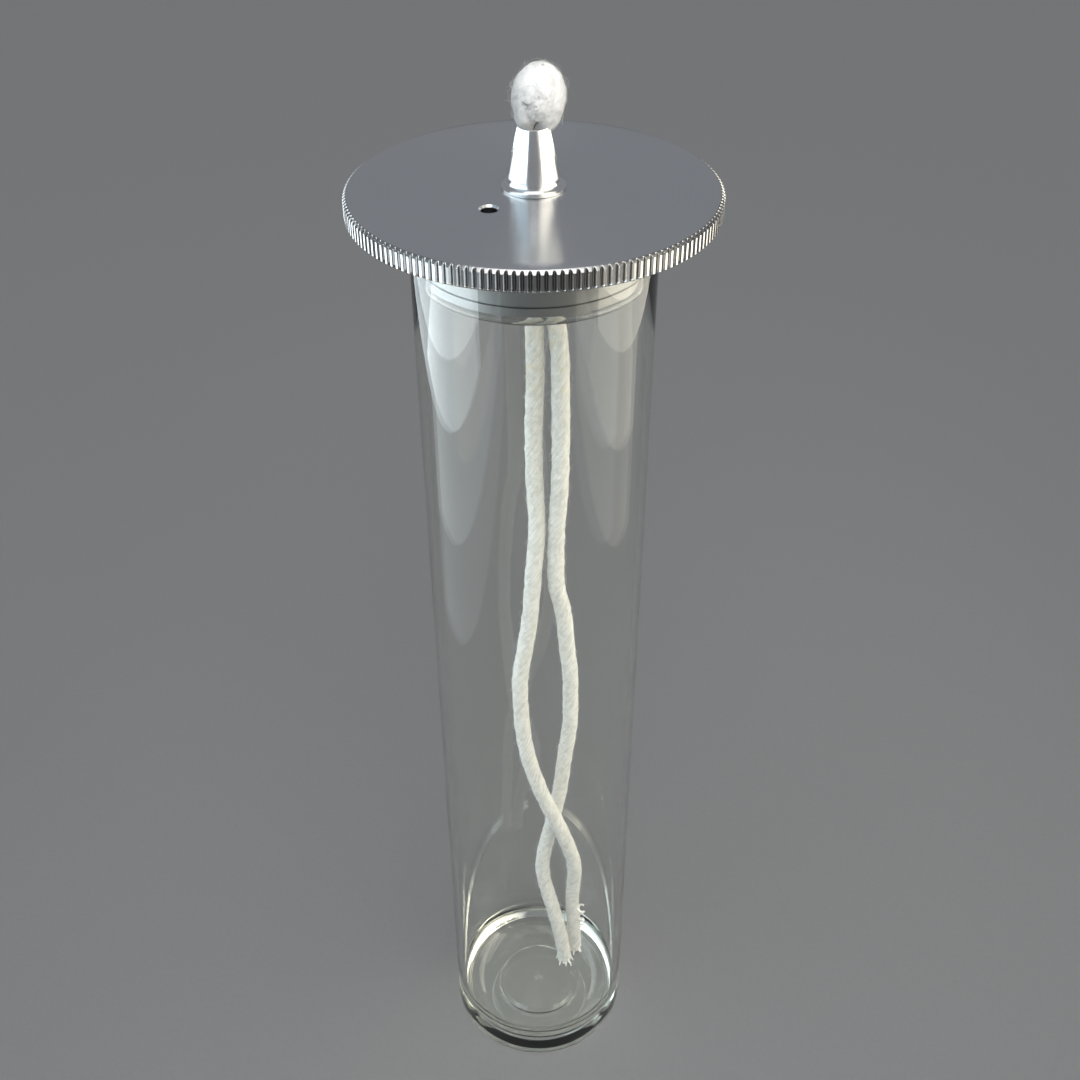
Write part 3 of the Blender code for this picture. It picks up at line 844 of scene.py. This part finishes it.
def frayed_end(name, rope, seed, spread, finish):
    """The cut end's yarns: short stubs that fan out from the rope's end."""
    dice = np.random.default_rng(seed)
    count = 26
    t = np.linspace(0, 1, 8)[None, :]
    turn = np.arange(count)[:, None] * 2.4 + dice.normal(0, 0.2, (count, 1))
    inner = np.sqrt((np.arange(count)[:, None] + 0.5) / count) * STRAND_RADIUS * 0.82
    length = dice.uniform(1.3, 2.9, (count, 1)) * MM
    down = rope.points[-1] - rope.points[-8]
    down = down / np.linalg.norm(down)
    normal, side = rope.normals[-1], rope.sides[-1]
    out = np.cos(turn)[..., None] * normal + np.sin(turn)[..., None] * side
    flare = inner[..., None] * (1 + spread * t[..., None] ** 1.5)
    begin = rope.points[-1] - down * 2.2 * MM
    lines = begin + out * flare + down * (length * t)[..., None]
    lines = lines + np.cumsum(dice.normal(0, 0.05 * MM, lines.shape), axis=1)
    radii = dice.uniform(0.2, 0.27, (count, 1)) * MM * (1 - 0.45 * t ** 2)
    mesh = thread_mesh(name, lines, radii, 7)
    return new_piece(name, mesh, finish, "wick", [])


def crimped_yarns(name, finish):
    """Two unravelled yarns that hang, still crimped, down the left strand's outer side."""
    t = np.linspace(0, 1, 90)
    lines = []
    for phase, out, radius, waves in CRIMPED_YARNS:
        angle = 2 * pi * waves * t + phase + 0.9 * np.sin(2 * pi * 1.3 * t + phase)
        x = out + 0.35 * np.sin(pi * t) + radius * np.cos(angle)
        y = 0.3 + 0.9 * t + radius * np.sin(angle)
        z = 31 - 9.5 * t
        lines.append(np.stack([x, y, z], axis=1) * MM)
    radii = np.full((2, 90), CRIMPED_YARN_RADIUS) * (1 - 0.3 * t[None, :])
    mesh = thread_mesh(name, np.array(lines), radii, 8)
    return new_piece(name, mesh, finish, "wick", [])


def strand(name, route, cad_node, finish, loose_finish, seed):
    """One hanging end of the wick, with its fuzz and its frayed tip."""
    points = smooth_route(route, ROPE_STEP)
    rope = Rope(points, np.full(len(points), STRAND_RADIUS))
    mesh = rope_mesh(name, rope, seed, 0.12 * MM)
    piece = new_piece(name, mesh, finish, "wick", [cad_node])
    fuzz = fuzz_mesh(name + "_fuzz", rope, 2600, seed, 0.75 * MM, FUZZ_START)
    fuzz_piece = new_piece(name + "_fuzz", fuzz, loose_finish, "wick", [])
    frayed = frayed_end(name + "_frayed_end", rope, seed + 10, 0.55, loose_finish)
    return piece, rope, [fuzz_piece, frayed]


def make_loop(finish, loose_finish):
    """The wick's loop above the nozzle, fluffed out, with its squeezed legs in the nozzle's bore."""
    points = smooth_route(LOOP_ROUTE, ROPE_STEP)
    radii = np.interp(points[:, 2] / MM, LOOP_HEIGHTS, LOOP_RADII) * MM
    rope = Rope(points, radii)
    mesh = rope_mesh("wick_loop", rope, 3, 0.1 * MM)
    fuzz = fuzz_mesh("wick_loop_fuzz", rope, 1000, 5, 0.8 * MM, 0.36, 0.64)
    for made in (mesh, fuzz):
        deepen(made)
    new_piece("wick_loop", mesh, finish, "wick", ["wick_head"])
    new_piece("wick_loop_fuzz", fuzz, loose_finish, "wick", [])


def deepen(mesh):
    """Fluffs the loop out into one solid egg above the nozzle, with no crease between its two legs."""
    middle, half = (NOZZLE_TIP + HEAD_TOP) / 2, (HEAD_TOP - NOZZLE_TIP) / 2
    co = np.zeros(len(mesh.vertices) * 3, np.float32)
    mesh.vertices.foreach_get("co", co)
    co = co.reshape(-1, 3)
    rise = np.clip((co[:, 2] - NOZZLE_TIP) / (1.6 * MM), 0, 1)
    rise = rise * rise * (3 - 2 * rise)
    co[:, 1] *= 1 + 0.35 * rise
    reach = HEAD_RADIUS * np.sqrt(np.clip(1 - ((co[:, 2] - middle) / half) ** 2, 0, 1))
    across = co[:, :2] - np.stack([HEAD_LEAN * rise, 0 * rise], axis=1)
    distance = np.linalg.norm(across, axis=1) + 1e-9
    lumps = np.array([noise.noise(Vector(point) / (1.3 * MM)) for point in co])
    least = reach * (0.9 + 0.05 * lumps) * rise
    across *= (np.maximum(distance, least) / distance)[:, None]
    co[:, 0] = across[:, 0] + HEAD_LEAN * rise
    co[:, 1] = across[:, 1]
    mesh.vertices.foreach_set("co", co.ravel())
    mesh.update()


make_camera()

# Lit and shaded copies of one cotton: the strands' rope is painted darker, painted shade, and the head's is
# painted lighter, painted light.
shaded_cotton_finish = cotton("cotton_rope_painted_shade", (0.62, 0.61, 0.57), (0.8, 0.795, 0.77), stained=True)
lit_head_finish = cotton("cotton_head_painted_light", (0.87, 0.865, 0.84), (0.97, 0.965, 0.95))
loose_finish = thread_cotton("cotton_fibres", (0.95, 0.94, 0.92))
left, left_rope, left_pieces = strand(
    "strand_left", LEFT_ROUTE, "wick_strand_left", shaded_cotton_finish, loose_finish, 1,
)
right, right_rope, right_pieces = strand(
    "strand_right", RIGHT_ROUTE, "wick_strand_right", shaded_cotton_finish, loose_finish, 2,
)
left_pieces.append(crimped_yarns("strand_left_loose_yarns", loose_finish))
make_loop(lit_head_finish, loose_finish)

make_glass_tube(clear_material(
    "clear_glass", (0.985, 0.99, 0.98), 1.49, 0.0, 0.02 * MM, 0.85, ((0.8, 0.84, 0.68), 26),
))
make_lid(turned_metal(
    "turned_aluminium", (0.76, 0.77, 0.785), 0.19, 0.88, 5200, 0.002 * MM,
    (DISC_RADIUS - RIM_CHAMFER, DISC_RADIUS - KNURL_DEPTH, DISC_RADIUS - 0.1 * MM, DISC_TOP - 0.3 * MM,
     DISC_UNDERSIDE),
))
make_seal(clear_material("clear_silicone", (0.6, 0.6, 0.58), 1.41, 0.06, 0.005 * MM, 0.5))
make_nozzle(turned_metal("bright_aluminium", (0.88, 0.88, 0.88), 0.2, 0.75, 7000, 0.001 * MM))
make_nut(plated_steel("plated_steel"))

make_floor(floor_paper("floor_paper"))
make_world()
make_cards()
softbox(
    "head_lamp", HEAD_LAMP_PLACE, (0, 0, HEAD_TOP), HEAD_LAMP_SIZE, (1, 1, 1), HEAD_LAMP_RADIANCE,
    lights_cloth=True,
)
bpy.context.scene.view_settings.view_transform = "Standard"
